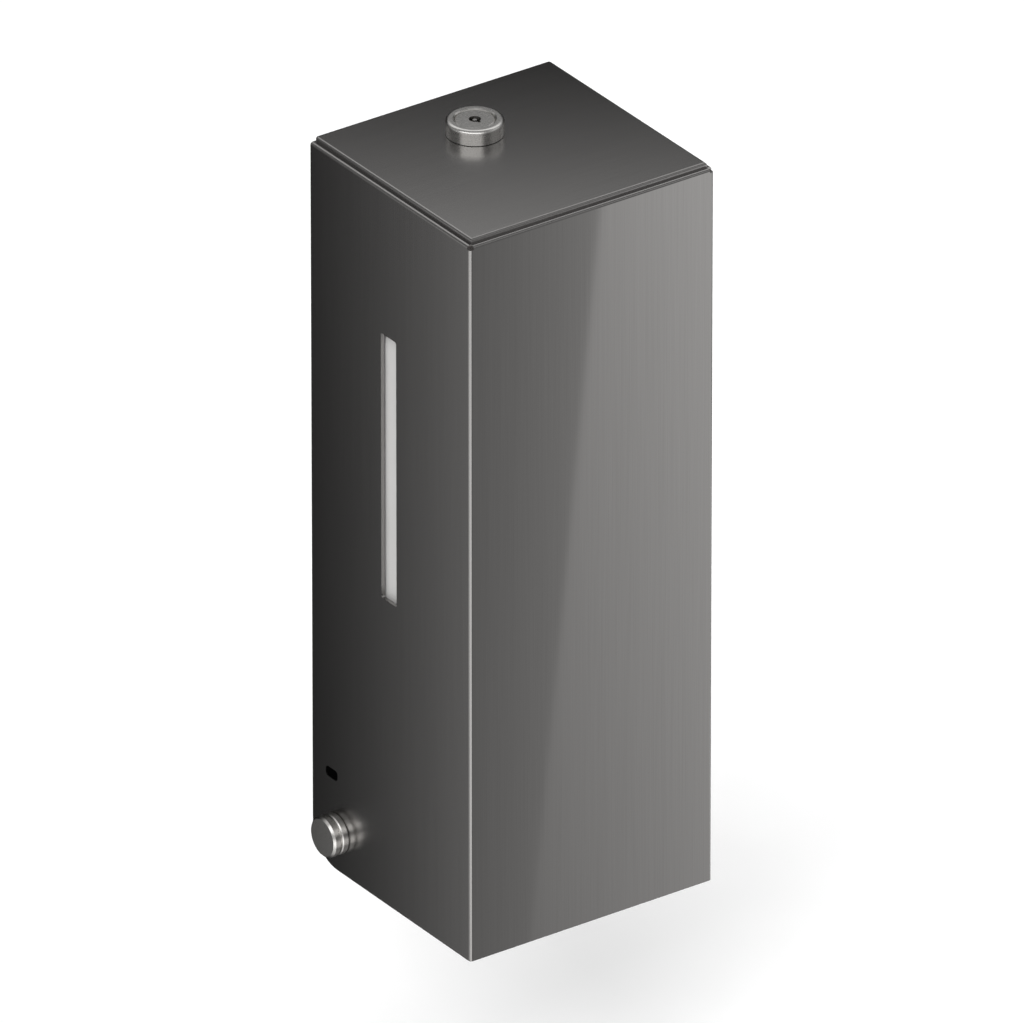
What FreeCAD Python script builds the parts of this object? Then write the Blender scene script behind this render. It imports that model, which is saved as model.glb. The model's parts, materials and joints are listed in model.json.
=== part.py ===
import FreeCAD, Part
import math
import os
import re

import Sketcher
from fcgear import fcgear, involute

os.makedirs("parts", exist_ok=True)

# Wall mounted touch-free soap dispenser, in millimetres.
# Frame: the wall is the plane y = 0 and the object stands in front of it, towards -Y.
# +X is to the right of a user, +Z is up, and the origin is the centre of the four wall screws.
# Heights called *_rise are measured from the lower edge of the steel cover.
SIZES = {
    # steel cover
    "cover_width": 109.2, "cover_depth": 101.8, "cover_height": 297.6, "cover_drop": 150,
    "wall_gap": 1, "cover_steel": 1.5, "fold_radius": 1.1, "fold_inner_radius": 0.3,
    "flange_width": 12, "corner_relief": 0.3, "relief_depth": 1.6,
    # top plate, held by welded studs through the folded flanges
    "lid_inset": 1.9, "lid_rear_inset": 0.1, "lid_thickness": 2, "lid_corner": 1.2, "lid_rim": 0.9,
    "stud_radius": 2, "stud_length": 9, "stud_hole": 2.2, "stud_front": 84, "stud_rear": 22,
    "nut_radius": 3.9, "nut_height": 3.2,
    # level slot and window in the left side
    "slot_width": 9.7, "slot_height": 110.1, "slot_rise": 127.9, "slot_setback": 52, "slot_corner": 0.8,
    "window_recess": 2.5, "window_thickness": 1.6, "window_margin": 4, "gasket_margin": 1.2,
    "bezel_margin": 7.5, "bezel_depth": 2.4,
    # small port in the left side
    "port_width": 7.5, "port_height": 4.2, "port_corner": 1.5, "port_setback": 12.4, "port_rise": 39.4,
    "port_play": 0.1, "port_flange": 1.1, "port_flange_thickness": 0.6, "port_recess": 0.4,
    # pivot of the cover
    "pivot_setback": 15.8, "pivot_rise": 15.8, "pivot_radius": 5, "pivot_play": 0.05,
    "pivot_head_radius": 8.1, "pivot_head_height": 2.8, "pivot_groove": 0.7, "pivot_neck_radius": 6.9,
    "pivot_cap_height": 3.2, "pivot_socket_radius": 3.2, "pivot_socket_depth": 2,
    "pivot_thread_radius": 4, "pivot_thread_length": 7, "pivot_nut_radius": 7.5, "pivot_nut_height": 6,
    "pivot_washer_radius": 9, "pivot_cap_edge": 0.8, "edge_break": 0.4,
    # wall plate
    "plate_steel": 2, "plate_half_width": 52, "plate_top": 136, "return_depth": 12, "ear_depth": 31,
    "ear_top": 36, "ear_radius": 14.3, "screw_spacing_x": 80, "screw_spacing_z": 200,
    "wall_screw_radius": 2.75, "pad_thickness": 0.7, "pad_length": 30, "pad_depth": 8, "pad_level": 100,
    "pad_edge": 2,
    # lock in the top plate
    "lock_setback": 31.9, "lock_offset": 3.3, "collar_radius": 10.9, "collar_height": 6,
    "collar_shoulder": 1.4,
    "lock_gasket_height": 0.2, "lock_gasket_radius": 10.4, "barrel_radius": 9, "barrel_length": 24,
    "barrel_play": 0.15, "plug_radius": 7.7, "plug_play": 0.05, "plug_recess": 0.35,
    "plug_edge": 0.7, "keyway_radius": 2.3, "key_pin_radius": 0.8, "key_pin_recess": 0.3,
    "key_notch": 0.9, "key_notch_width": 1.1, "keyway_depth": 6, "plug_tail": 3, "tail_width": 6,
    "lock_nut_radius": 12.2, "lock_nut_height": 3.5, "cam_thickness": 2, "cam_length": 24,
    "cam_width": 8, "cam_play": 0.1, "cam_screw_head": 3.6, "cam_screw_height": 2,
    # striker that the cam turns behind
    "striker_inner": 12, "striker_width": 14, "striker_drop": 22, "striker_steel": 2,
    "striker_shelf": 119, "striker_lip_gap": 0.8, "striker_lip_height": 6, 
    "rivet_head": 3, "rivet_head_height": 1.2, "rivet_spacing": 10, "rivet_drop": 5,
    # chassis moulding
    "chassis_half_width": 48.8, "chassis_wall": 3, "shelf_rise": 113, "shelf_thickness": 3,
    "deck_rise": 13, "deck_thickness": 2.5, "chassis_front": 96.5, "rim_height": 4, "rim_width": 2,
    "cap_hole": 20.5, "access_radius": 7, "gusset_depth": 30,
    "chassis_screw_x": 36, "chassis_screw_low": 34, "chassis_screw_high": 100,
    "nut_space": 34, "nut_space_rise": 28, "base_screw_x": 38, "overcut": 1,
    # base tray under the chassis
    "tray_bottom_rise": 2.5, "tray_thickness": 2.5, "tray_front": 99.1, "tray_half_width": 52,
    "tray_rear_half_width": 42.5, "tray_rear": 4, "tray_notch": 33, "tray_wall": 2, "nozzle_hole": 9,
    "sensor_setback": 50, "sensor_width": 24, "sensor_depth": 11, "sensor_lip": 1.5,
    "sensor_board_width": 34, "sensor_board_depth": 18, "board_thickness": 1.6, "diode_radius": 2.5,
    "diode_length": 4, "diode_play": 0.3, "diode_spread": 7,
    # refill bottle and its cap
    "bottle_half_width": 46.5, "bottle_front": 97, "bottle_back": 14, "bottle_height": 125,
    "bottle_corner": 7, "bottle_wall": 1.6, "neck_radius": 15, "neck_length": 14, "neck_wall": 2.2,
    "cap_radius": 18.5, "cap_length": 15.5, "cap_base": 2, "cap_gasket": 1.5, "cap_play": 0.1,
    # pump
    "pump_setback": 77, "pump_radius": 9, "pump_bore": 7, "pump_length": 50.5, "pump_flange": 2,
    "pump_flange_radius": 14.8, "pump_roof": 2.5, "inlet_radius": 2.5, "ball_radius": 3.5,
    "pump_floor": 3, "stem_radius": 4, "stem_bore": 2, "stem_play": 0.08, "piston_rise": 60,
    "piston_length": 6, "piston_play": 0.08, "piston_groove": 1, "collar_rise": 32,
    "stem_collar_radius": 7,
    "stem_collar_height": 3, "stem_foot_rise": 8, "nozzle_foot_rise": 3.2, "nozzle_radius": 5.4,
    "spring_wire": 0.8, "spring_radius": 5.4, "spring_pitch": 4,
    # rack yoke, guide rods and gears
    "yoke_half_width": 15.5, "yoke_thickness": 3, "yoke_slot": 4.6, "yoke_front": 86,
    "rod_radius": 2, "rod_play": 0.08, "rod_x": 13, "rod_setback": 68, "rod_top_rise": 76,
    "rod_boss_radius": 4, "rack_width": 8, "rack_back": 4, "rack_top_rise": 66, "rack_foot_rise": 42,
    "rack_module": 1, "rack_setback": 62, "pinion_teeth": 14, "wheel_module": 0.6, "wheel_teeth": 42,
    "motor_teeth": 14, "gear_slack": 0.1, "gear_rise": 58, "gear_angle": 20, "axle_radius": 1.5,
    "axle_play": 0.05, "gear_gap": 1, "wheel_width": 5, "frame_plate": 2, "frame_front": 64,
    "frame_back": 22, "frame_height": 30, "motor_radius": 12, "motor_length": 31, "motor_boss": 3.2,
    "shaft_radius": 1, "motor_edge": 1, "dedendum": 1.25,
    # batteries and electronics
    "cell_radius": 7.1, "cell_length": 49, "cell_pitch": 14.6, "cell_nub_radius": 2.6, "cell_nub": 1.2,
    "cell_gap": 2, "contact_width": 10, "contact_thickness": 0.4,
    "box_left": 16.5, "box_width": 31.6, "box_back": 64, "box_depth": 31.6, "box_height": 57,
    "box_wall": 1.2, "door_thickness": 1.4, "door_tab": 8, "board_left": 48, "board_width": 30,
    "board_height": 50, "board_setback": 89, "board_boss": 3, "board_post": 6, "board_post_edge": 2,
    "chip_size": 9, "chip_height": 1.2, "chip_left": 8, "chip_rise": 20,
    "connector_width": 8, "connector_depth": 5, "connector_height": 5, "connector_edge": 1,
    "connector_pitch": 10, "connector_rise": 2, "switch_width": 9, "switch_edge": 2,
    "switch_depth": 4, "switch_height": 5, "slider_width": 2.6, "slider_depth": 2.4,
    "slider_height": 2.4, "slider_travel": 2.5, "lead_radius": 1, "lead_bend": 3.5, "lead_loop": 5,
    "lead_cross_rise": 23, "lead_cross_x": 24, "lead_edge": 2, "small_screw_radius": 1.5,
    "small_head_radius": 2.8, "small_head_height": 1.8, "small_screw_length": 6,
}

document = FreeCAD.newDocument("soap_dispenser")
sheet = document.addObject("Spreadsheet::Sheet", "dims")
for row, (alias, value) in enumerate(SIZES.items(), start=1):
    sheet.set(f"A{row}", alias)
    sheet.set(f"B{row}", str(value))
    sheet.setAlias(f"B{row}", alias)
document.recompute()

sub_parts = []
TURNED_TO = {
    "z": FreeCAD.Rotation(),
    "-z": FreeCAD.Rotation(FreeCAD.Vector(1, 0, 0), 180),
    "x": FreeCAD.Rotation(FreeCAD.Vector(0, 1, 0), 90),
    "-x": FreeCAD.Rotation(FreeCAD.Vector(0, 1, 0), -90),
    "y": FreeCAD.Rotation(FreeCAD.Vector(1, 0, 0), -90),
    "-y": FreeCAD.Rotation(FreeCAD.Vector(1, 0, 0), 90),
}


# ---- reading the sheet -------------------------------------------------------------------------

def formula(text):
    """An expression on the sheet, from a text that names the sizes alone."""
    return re.sub(r"[a-z_]+",
                  lambda word: "dims." + word.group() if word.group() in SIZES else word.group(), text)


def number(text):
    return float(sheet.evalExpression(formula(text)))


def bind(item, settings):
    for name, text in settings.items():
        item.setExpression(name, formula(text))


def place(item, position, axis="z"):
    """Turns an item's own Z axis along a row axis and moves its origin to the position."""
    item.Placement = FreeCAD.Placement(FreeCAD.Vector(), TURNED_TO[axis])
    bind(item, {f"Placement.Base.{letter}": text for letter, text in zip("xyz", position)})
    return item


def keep(item, label):
    """Marks a document object as a finished sub-part with its own name."""
    item.Label = label
    sub_parts.append(item)
    return item


# ---- Part primitives and booleans -----------------------------------------------------------------

def block(name, low, size):
    box = document.addObject("Part::Box", name)
    bind(box, dict(zip(("Length", "Width", "Height"), size)))
    return place(box, low)


def rod(name, position, radius, length, axis="z"):
    cylinder = document.addObject("Part::Cylinder", name)
    bind(cylinder, {"Radius": radius, "Height": length})
    return place(cylinder, position, axis)


def join(name, items):
    fused = document.addObject("Part::MultiFuse", name)
    fused.Shapes = items
    return fused


def cut(name, base, tools):
    result = document.addObject("Part::Cut", name)
    result.Base = base
    result.Tool = tools[0] if len(tools) == 1 else join(name + "_tools", tools)
    return result


def group(name, items):
    """Separate solids that share one node."""
    bundle = document.addObject("Part::Compound", name)
    bundle.Links = items
    return bundle


# ---- PartDesign bodies ------------------------------------------------------------------------------

def new_body(name):
    return document.addObject("PartDesign::Body", name)


def new_sketch(body, role, offset="0"):
    sketch = body.newObject("Sketcher::SketchObject", body.Name + "_sketch")
    plane = next(feature for feature in body.Origin.OriginFeatures if feature.Role == role)
    sketch.AttachmentSupport = [(plane, "")]
    sketch.MapMode = "FlatFace"
    bind(sketch, {"AttachmentOffset.Base.z": offset})
    return sketch


def fix_point(sketch, geometry, vertex, point):
    for kind, text in zip(("DistanceX", "DistanceY"), point):
        constraint = Sketcher.Constraint(kind, -1, 1, geometry, vertex, number(text))
        index = sketch.addConstraint(constraint)
        bind(sketch, {f"Constraints[{index}]": text})


def add_outline(sketch, points):
    """A closed outline of straight lines through points given as pairs of expressions."""
    corners = [FreeCAD.Vector(number(u), number(v), 0) for u, v in points]
    lines = [
        sketch.addGeometry(Part.LineSegment(start, end), False)
        for start, end in zip(corners, corners[1:] + corners[:1])
    ]
    for line, following in zip(lines, lines[1:] + lines[:1]):
        sketch.addConstraint(Sketcher.Constraint("Coincident", line, 2, following, 1))
    for line, point in zip(lines, points):
        fix_point(sketch, line, 1, point)


def add_rectangle(sketch, left, low, right, high):
    add_outline(sketch, [(left, low), (right, low), (right, high), (left, high)])


def add_circle(sketch, centre, radius):
    middle = FreeCAD.Vector(number(centre[0]), number(centre[1]), 0)
    circle = sketch.addGeometry(Part.Circle(middle, FreeCAD.Vector(0, 0, 1), number(radius)), False)
    fix_point(sketch, circle, 3, centre)
    index = sketch.addConstraint(Sketcher.Constraint("Radius", circle, number(radius)))
    bind(sketch, {f"Constraints[{index}]": radius})


def feature(body, kind, sketch, **settings):
    made = body.newObject("PartDesign::" + kind, f"{body.Name}_{kind.lower()}")
    made.Profile = sketch
    for name, value in settings.items():
        setattr(made, name, value)
    return made


def pad(body, sketch, length, both_ways=False, backwards=False):
    made = feature(body, "Pad", sketch, Midplane=both_ways, Reversed=backwards)
    bind(made, {"Length": length})
    return made


def pocket(body, sketch, length=None, backwards=False):
    """Cuts to a depth, or both ways right through the body; the volume shows that it did cut."""
    document.recompute()
    before = body.Shape.Volume
    made = feature(body, "Pocket", sketch, Reversed=backwards)
    if length is None:
        made.Type = "ThroughAll"
        made.Midplane = True
    else:
        bind(made, {"Length": length})
    document.recompute()
    if body.Shape.Volume >= before:
        raise ValueError(f"{made.Name} cuts nothing")
    return made


def round_edges(body, radius, chosen, kind="Fillet"):
    """Rounds (or chamfers) the edges of the body for which chosen(edge) is true."""
    document.recompute()
    base = body.Tip
    names = [f"Edge{i}" for i, edge in enumerate(base.Shape.Edges, start=1) if chosen(edge)]
    if not names:
        raise ValueError(f"no edge of {body.Name} to round")
    made = body.newObject("PartDesign::" + kind, f"{body.Name}_{kind.lower()}")
    made.Base = (base, names)
    bind(made, {"Radius" if kind == "Fillet" else "Size": radius})
    document.recompute()
    return made


def lies_on(edge, **where):
    """True if the whole edge lies at the given coordinates, such as y=..., z=..."""
    box = edge.BoundBox
    spans = {"x": (box.XMin, box.XMax), "y": (box.YMin, box.YMax), "z": (box.ZMin, box.ZMax)}
    tolerance = 1e-4
    return all(
        abs(spans[axis][0] - value) < tolerance and abs(spans[axis][1] - value) < tolerance
        for axis, value in where.items()
    )


def runs_along(edge, axis):
    box = edge.BoundBox
    length = {"x": box.XLength, "y": box.YLength, "z": box.ZLength}[axis]
    return abs(edge.Length - length) < 1e-4


def turned(name, profile, position, axis="z"):
    """A turned piece: a profile of (radius, height) pairs revolved about the piece's own Z axis."""
    body = new_body(name)
    sketch = new_sketch(body, "XZ_Plane")
    add_outline(sketch, profile)
    made = feature(body, "Revolution", sketch, Angle=360)
    made.ReferenceAxis = (sketch, ["V_Axis"])
    place(body, position, axis)
    return body


def ring(name, inner, outer, height, position, axis="z"):
    return turned(name, [(inner, "0"), (outer, "0"), (outer, height), (inner, height)], position, axis)


def disc(name, radius, height, position, axis="z"):
    return turned(name, [("0", "0"), (radius, "0"), (radius, height), ("0", height)], position, axis)


def hexagon(name, flat_radius, height, bore, position, axis="z"):
    """A hexagon nut, flat_radius being half its width across flats."""
    body = new_body(name)
    sketch = new_sketch(body, "XY_Plane")
    corner = f"({flat_radius}) / cos(30 deg)"
    add_outline(sketch, [
        (f"{corner} * cos({60 * turn} deg)", f"{corner} * sin({60 * turn} deg)") for turn in range(6)
    ])
    add_circle(sketch, ("0", "0"), bore)
    pad(body, sketch, height)
    place(body, position, axis)
    return body


def small_screw(name, position, axis, length="small_screw_length"):
    """Pan-head screw with a round drive recess; the position is the underside of its head."""
    return turned(name, [
        ("0", f"-{length}"), ("small_screw_radius", f"-{length}"), ("small_screw_radius", "0"),
        ("small_head_radius", "0"), ("small_head_radius", "small_head_height * 0.6"),
        ("small_head_radius * 0.8", "small_head_height"),
        ("small_screw_radius * 0.8", "small_head_height"),
        ("small_screw_radius * 0.8", "small_head_height / 2"), ("0", "small_head_height / 2"),
    ], position, axis)


# ---- places used by several sub-parts --------------------------------------------------------------

FRONT = "-(wall_gap + cover_depth)"
REAR = "-wall_gap"
FLOOR = "-cover_drop"
SHELL_TOP = "(cover_height - cover_drop)"
LID_TOP = "(cover_height - cover_drop + lid_thickness)"
PIVOT_Y = "-(wall_gap + pivot_setback)"
PIVOT_Z = "(pivot_rise - cover_drop)"
LOCK_X = "-lock_offset"
LOCK_Y = "-(wall_gap + lock_setback)"
SLOT_Y = "(slot_setback - wall_gap - cover_depth)"
SHELF_TOP = "(shelf_rise + shelf_thickness - cover_drop)"
PUMP_Y = "-pump_setback"
SIDES = {"left": "-", "right": ""}


# ---- cover: shell, lid, window, port ------------------------------------------------------------------

def make_cover_shell():
    """One folded steel sheet: a front and two sides, with flanges folded inwards at the top."""
    body = new_body("cover_shell_body")
    half = "cover_width / 2"
    inner = "(cover_width / 2 - cover_steel)"
    front_inner = f"({FRONT} + cover_steel)"
    walls = new_sketch(body, "XY_Plane", FLOOR)
    add_outline(walls, [
        (f"-{half}", REAR), (f"-{half}", FRONT), (half, FRONT), (half, REAR),
        (inner, REAR), (inner, front_inner), (f"-{inner}", front_inner), (f"-{inner}", REAR),
    ])
    pad(body, walls, "cover_height")
    front, front_in = number(FRONT), number(front_inner)
    round_edges(body, "fold_radius", lambda edge: runs_along(edge, "z") and lies_on(edge, y=front))
    round_edges(body, "fold_inner_radius",
                lambda edge: runs_along(edge, "z") and lies_on(edge, y=front_in))
    flanges = new_sketch(body, "XY_Plane", f"{SHELL_TOP} - cover_steel")
    clear = f"({inner} - corner_relief)"
    flange_end = f"({front_inner} + corner_relief)"
    add_rectangle(flanges, f"-{clear}", f"{front_inner} - cover_steel / 2", clear,
                  f"{front_inner} + flange_width")
    pad(body, flanges, "cover_steel")
    for sign in SIDES.values():
        side_flange = new_sketch(body, "XY_Plane", f"{SHELL_TOP} - cover_steel")
        add_rectangle(side_flange, f"{sign}({inner} + cover_steel / 2)", f"{flange_end} + flange_width",
                      f"{sign}({inner} - flange_width)", REAR)
        pad(body, side_flange, "cover_steel")
        link = new_sketch(body, "XY_Plane", f"{SHELL_TOP} - cover_steel")
        add_rectangle(link, f"{sign}({inner} + cover_steel / 2)", flange_end,
                      f"{sign}({inner} - flange_width)", f"{flange_end} + flange_width")
        pad(body, link, "cover_steel")
    for sign in SIDES.values():
        relief = new_sketch(body, "XY_Plane", SHELL_TOP)
        add_rectangle(relief, f"{sign}({half} + cover_steel)", f"{FRONT} - cover_steel",
                      f"{sign}{clear}", flange_end)
        pocket(body, relief, "relief_depth")
    top, side = number(SHELL_TOP), number(half)
    round_edges(body, "fold_radius", lambda edge: lies_on(edge, z=top) and (
        lies_on(edge, y=front) or lies_on(edge, x=side) or lies_on(edge, x=-side)))
    low, rear = number(FLOOR), number(REAR)
    round_edges(body, "pivot_setback", lambda edge: lies_on(edge, y=rear, z=low))
    slot = new_sketch(body, "YZ_Plane")
    add_rectangle(slot, f"{SLOT_Y} - slot_width / 2", "slot_rise - cover_drop",
                  f"{SLOT_Y} + slot_width / 2", "slot_rise + slot_height - cover_drop")
    pocket(body, slot, "cover_width")
    slot_low, slot_high = number("slot_rise - cover_drop"), number("slot_rise + slot_height - cover_drop")
    round_edges(body, "slot_corner",
                lambda edge: runs_along(edge, "x") and edge.Length < number("2 * cover_steel")
                and (lies_on(edge, z=slot_low) or lies_on(edge, z=slot_high)))
    port = new_sketch(body, "YZ_Plane")
    port_y, port_z = f"-(wall_gap + port_setback)", "(port_rise - cover_drop)"
    add_rectangle(port, f"{port_y} - port_width / 2", f"{port_z} - port_height / 2",
                  f"{port_y} + port_width / 2", f"{port_z} + port_height / 2")
    pocket(body, port, "cover_width")
    edges_low, edges_high = number(f"{port_z} - port_height / 2"), number(f"{port_z} + port_height / 2")
    round_edges(body, "port_corner",
                lambda edge: runs_along(edge, "x") and edge.Length < number("2 * cover_steel")
                and (lies_on(edge, z=edges_low) or lies_on(edge, z=edges_high)))
    pivots = new_sketch(body, "YZ_Plane")
    add_circle(pivots, (PIVOT_Y, PIVOT_Z), "pivot_radius + pivot_play")
    pocket(body, pivots)
    studs = new_sketch(body, "XY_Plane", SHELL_TOP)
    for x, y in stud_places():
        add_circle(studs, (x, y), "stud_hole")
    pocket(body, studs, "2 * cover_steel")
    keep(body, "cover_shell")


def stud_places():
    x = "(cover_width / 2 - cover_steel - flange_width / 2)"
    depths = ("stud_front", "stud_rear")
    return [(f"{sign}{x}", f"-(wall_gap + {depth})") for sign in SIDES.values() for depth in depths]


def make_top_plate():
    body = new_body("top_plate_body")
    outline = new_sketch(body, "XY_Plane", SHELL_TOP)
    half = "(cover_width / 2 - lid_inset)"
    add_rectangle(outline, f"-{half}", f"{FRONT} + lid_inset", half, f"{REAR} - lid_rear_inset")
    pad(body, outline, "lid_thickness")
    rear, top = number(f"{REAR} - lid_rear_inset"), number(LID_TOP)
    round_edges(body, "lid_corner", lambda edge: runs_along(edge, "z") and lies_on(edge, y=rear))
    round_edges(body, "lid_rim", lambda edge: lies_on(edge, z=top))
    hole = new_sketch(body, "XY_Plane", LID_TOP)
    add_circle(hole, (LOCK_X, LOCK_Y), "barrel_radius + barrel_play")
    pocket(body, hole, "2 * lid_thickness")
    keep(body, "top_plate")


def make_top_plate_fasteners():
    """Studs welded under the top plate, and the nuts that pull it down on the folded flanges."""
    studs, nuts = [], []
    for number_on_plate, (x, y) in enumerate(stud_places(), start=1):
        foot = f"{SHELL_TOP} - stud_length"
        studs.append(rod(f"stud_{number_on_plate}", (x, y, foot), "stud_radius", "stud_length"))
        under = f"{SHELL_TOP} - cover_steel - nut_height"
        nuts.append(hexagon(f"nut_{number_on_plate}", "nut_radius", "nut_height", "stud_radius",
                            (x, y, under)))
    keep(group("stud_group", studs), "top_plate_studs")
    keep(group("nut_group", nuts), "top_plate_nuts")


def make_level_window():
    """Frosted strip behind the slot, with its sealing frame and the bezel that holds both."""
    outer_x = "(window_recess - cover_width / 2)"
    inner_wall = "(cover_steel - cover_width / 2)"
    middle = "(slot_rise + slot_height / 2 - cover_drop)"

    def plate(name, start_x, margin, thickness):
        low = (start_x, f"{SLOT_Y} - slot_width / 2 - {margin}", f"{middle} - slot_height / 2 - {margin}")
        return block(name, low, (thickness, f"slot_width + 2 * {margin}", f"slot_height + 2 * {margin}"))

    keep(plate("window_strip", outer_x, "window_margin", "window_thickness"), "level_window")
    gap = "window_recess - cover_steel"
    gasket = cut("gasket_frame", plate("gasket_blank", inner_wall, "window_margin", gap),
                 [plate("gasket_hole", inner_wall, "gasket_margin", gap)])
    keep(gasket, "window_gasket")
    bezel = cut("bezel_frame",
                plate("bezel_blank", inner_wall, "bezel_margin",
                      "bezel_depth + window_recess - cover_steel"), [
        plate("bezel_seat", inner_wall, "window_margin",
              "window_recess - cover_steel + window_thickness"),
        plate("bezel_hole", inner_wall, "gasket_margin", "2 * bezel_depth + window_recess"),
    ])
    keep(bezel, "window_bezel")


def make_port_plug():
    """Black plug that fills the small port from inside, its face a little below the steel."""
    y, z = "(-(wall_gap + port_setback))", "(port_rise - cover_drop)"
    body = new_body("port_plug_body")
    flange = new_sketch(body, "YZ_Plane", "cover_steel - cover_width / 2")
    add_rectangle(flange, f"{y} - port_width / 2 - port_flange", f"{z} - port_height / 2 - port_flange",
                  f"{y} + port_width / 2 + port_flange", f"{z} + port_height / 2 + port_flange")
    pad(body, flange, "port_flange_thickness")
    nose = new_sketch(body, "YZ_Plane", "cover_steel - cover_width / 2")
    add_rectangle(nose, f"{y} - port_width / 2 + port_play", f"{z} - port_height / 2 + port_play",
                  f"{y} + port_width / 2 - port_play", f"{z} + port_height / 2 - port_play")
    pad(body, nose, "cover_steel - port_recess", backwards=True)
    inner = number("cover_steel - cover_width / 2")
    round_edges(body, "port_corner - port_play",
                lambda edge: runs_along(edge, "x") and edge.BoundBox.XMax < inner + 1e-4)
    keep(body, "port_plug")


# ---- lock ----------------------------------------------------------------------------------------

def make_lock():
    foot = "lock_gasket_height"
    top = "(lock_gasket_height + collar_height)"
    face = f"({top} - plug_recess)"
    bore = "(plug_radius + plug_play)"
    axis_point = (LOCK_X, LOCK_Y, LID_TOP)
    keep(ring("lock_gasket_ring", "barrel_radius + barrel_play", "lock_gasket_radius", foot, axis_point),
         "lock_gasket")
    housing = turned("lock_housing_body", [
        (bore, "-barrel_length"), ("barrel_radius", "-barrel_length"), ("barrel_radius", foot),
        ("collar_radius", foot), ("collar_radius", top),
        (f"{bore} + edge_break", top), (bore, f"{top} - edge_break"),
    ], axis_point)
    rim, barrel_width = number(top), 2 * number("barrel_radius")
    round_edges(housing, "collar_shoulder",
                lambda edge: lies_on(edge, z=rim) and edge.BoundBox.XLength > barrel_width)
    keep(housing, "lock_housing")
    keep(hexagon("lock_nut_body", "lock_nut_radius", "lock_nut_height", "barrel_radius",
                 (LOCK_X, LOCK_Y, f"{SHELL_TOP} - lock_nut_height")), "lock_nut")
    plug = turned("lock_plug_body", [
        ("0", "-barrel_length"), ("plug_radius", "-barrel_length"),
        ("plug_radius", f"{face} - plug_edge"), ("plug_radius - plug_edge", face),
        ("keyway_radius", face),
        ("keyway_radius", f"{face} - keyway_depth"), ("key_pin_radius", f"{face} - keyway_depth"),
        ("key_pin_radius", f"{face} - key_pin_recess"), ("0", f"{face} - key_pin_recess"),
    ], axis_point)
    notch = new_sketch(plug, "XY_Plane", face)
    add_rectangle(notch, "-key_notch_width / 2", "-(keyway_radius + key_notch)", "key_notch_width / 2",
                  "-(keyway_radius + key_pin_radius) / 2")
    pocket(plug, notch, "keyway_depth / 2")
    tail = new_sketch(plug, "XY_Plane", "-barrel_length - plug_tail")
    add_rectangle(tail, "-tail_width / 2", "-tail_width / 2", "tail_width / 2", "tail_width / 2")
    pad(plug, tail, "plug_tail")
    keep(plug, "lock_plug")
    cam = new_body("lock_cam_body")
    blade = new_sketch(cam, "XY_Plane", "-barrel_length - plug_play - cam_thickness")
    add_rectangle(blade, "-cam_width / 2", "-cam_width / 2", "cam_width / 2", "cam_length")
    pad(cam, blade, "cam_thickness")
    seat = new_sketch(cam, "XY_Plane", "-barrel_length")
    reach = "(tail_width / 2 + cam_play)"
    add_rectangle(seat, f"-{reach}", f"-{reach}", reach, reach)
    pocket(cam, seat, "2 * cam_thickness")
    round_edges(cam, "cam_width / 4",
                lambda edge: runs_along(edge, "z") and edge.BoundBox.YMin > number("cam_width"))
    place(cam, axis_point)
    keep(cam, "lock_cam")
    keep(disc("cam_screw_body", "cam_screw_head", "cam_screw_height",
              (LOCK_X, LOCK_Y, f"{LID_TOP} - barrel_length - plug_tail - cam_screw_height")), "cam_screw")


def make_striker():
    """Bent bracket on the wall plate: shelf, and a lip in front of the locked cam."""
    body = new_body("striker_body")
    profile = new_sketch(body, "YZ_Plane", "striker_inner")
    lip = f"({LOCK_Y} - cam_width / 2 - striker_lip_gap)"
    add_outline(profile, [
        ("-plate_steel", "striker_shelf - striker_drop"),
        ("-plate_steel", "striker_shelf + striker_steel"),
        (lip, "striker_shelf + striker_steel"), (lip, "striker_shelf + striker_lip_height"),
        (f"{lip} - striker_steel", "striker_shelf + striker_lip_height"),
        (f"{lip} - striker_steel", "striker_shelf"),
        ("-(plate_steel + striker_steel)", "striker_shelf"),
        ("-(plate_steel + striker_steel)", "striker_shelf - striker_drop"),
    ])
    pad(body, profile, "striker_width")
    keep(body, "lock_striker")
    rivets = []
    for step in ("0", "rivet_spacing"):
        head = ("striker_inner + striker_width / 2", "-(plate_steel + striker_steel)",
                f"striker_shelf - rivet_drop - {step}")
        rivets.append(disc(f"rivet_{len(rivets) + 1}", "rivet_head", "rivet_head_height", head, "-y"))
    keep(group("rivet_group", rivets), "striker_rivets")


# ---- wall plate and pivots -----------------------------------------------------------------------

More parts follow.
